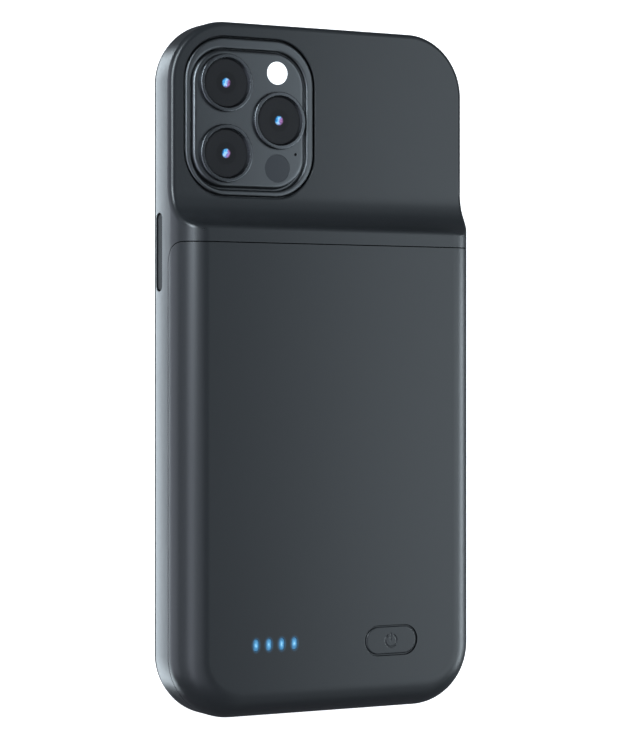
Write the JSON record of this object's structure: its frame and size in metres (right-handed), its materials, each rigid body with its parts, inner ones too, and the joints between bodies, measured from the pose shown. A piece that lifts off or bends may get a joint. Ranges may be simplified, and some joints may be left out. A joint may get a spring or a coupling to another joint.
{
  "type": "battery case",
  "caption": "Clip-on sleeve for a phone with a battery hump on its back, a guarded camera window, a power button, charge lights and a charging plug in its bay.",
  "frame": {"origin": "centre of the bounding box's bottom face: the plane of the open front rim, on which the sleeve lies", "axes": "+Z out of the back, from the open front rim towards the battery hump; +Y along the sleeve from the charging end to the camera end; +X to the right as the back is seen with the camera window at the top"},
  "size_m": [0.078, 0.16, 0.016],
  "materials": {
    "shell": "soft-touch matt, slate grey",
    "shell_cover": "soft-touch matt, slate grey",
    "lining": "short flocked microfibre",
    "guard": "fine satin, mid grey",
    "ring": "anodised, satin grey",
    "lens": "polished, coated, masked black from behind",
    "sensor": "smoked, satin",
    "diffuser": "milky white diffuser",
    "cell_foil": "laminated pouch foil, satin",
    "foam": "soft adhesive foam",
    "flex_film": "amber polyimide film",
    "board": "solder-mask green",
    "chip": "moulded black",
    "ferrite": "pressed ferrite, matt",
    "capacitor": "fired tan",
    "lamp": "clear resin",
    "guide": "frosted acrylic, lit blue",
    "switch_can": "stamped",
    "button": "soft-touch matt, slate grey",
    "screw": "plated",
    "plug_metal": "polished plate",
    "plug_plastic": "moulded black",
    "port_metal": "drawn steel",
    "connector": "moulded ivory"
  },
  "bodies": {
    "housing": {"sleeve": "shell", "battery_cover": "shell_cover", "bay_lining": "lining", "camera_guard": "guard", "lens_ring_upper": "ring", "lens_ring_lower": "ring", "lens_ring_side": "ring", "lens_glass_upper": "lens", "lens_glass_lower": "lens", "lens_glass_side": "lens", "sensor_window": "sensor", "flash_window": "diffuser", "battery_cell": "cell_foil", "cell_pads": "foam", "cell_board": "board", "battery_lead": "flex_film", "lead_connector": "connector", "main_board": "board", "board_chips": "chip", "inductor": "ferrite", "board_capacitors": "capacitor", "led_lamps": "lamp", "light_guide": "guide", "power_switch": "switch_can", "board_screws": "screw", "phone_plug": "plug_metal", "plug_base": "plug_plastic", "port_board": "board", "board_flex": "flex_film", "charge_port": "port_metal", "port_tongue": "plug_plastic"},
    "power_button": {"power_button": "button"},
    "side_key": {"side_key": "button"},
    "volume_up_key": {"volume_up_key": "button"},
    "volume_down_key": {"volume_down_key": "button"}
  },
  "joints": [
    {"name": "power_press", "type": "slide", "parent": "housing", "child": "power_button", "axis": [0, 0, -1], "range_m": [0, 0.0003], "stiffness_N_per_m": 400, "springref_m": -0.002},
    {"name": "side_press", "type": "slide", "parent": "housing", "child": "side_key", "axis": [1, 0, 0], "range_m": [0, 0.0004], "stiffness_N_per_m": 300, "springref_m": -0.002},
    {"name": "volume_up_press", "type": "slide", "parent": "housing", "child": "volume_up_key", "axis": [-1, 0, 0], "range_m": [0, 0.0004], "stiffness_N_per_m": 300, "springref_m": -0.002},
    {"name": "volume_down_press", "type": "slide", "parent": "housing", "child": "volume_down_key", "axis": [-1, 0, 0], "range_m": [0, 0.0004], "stiffness_N_per_m": 300, "springref_m": -0.002}
  ]
}
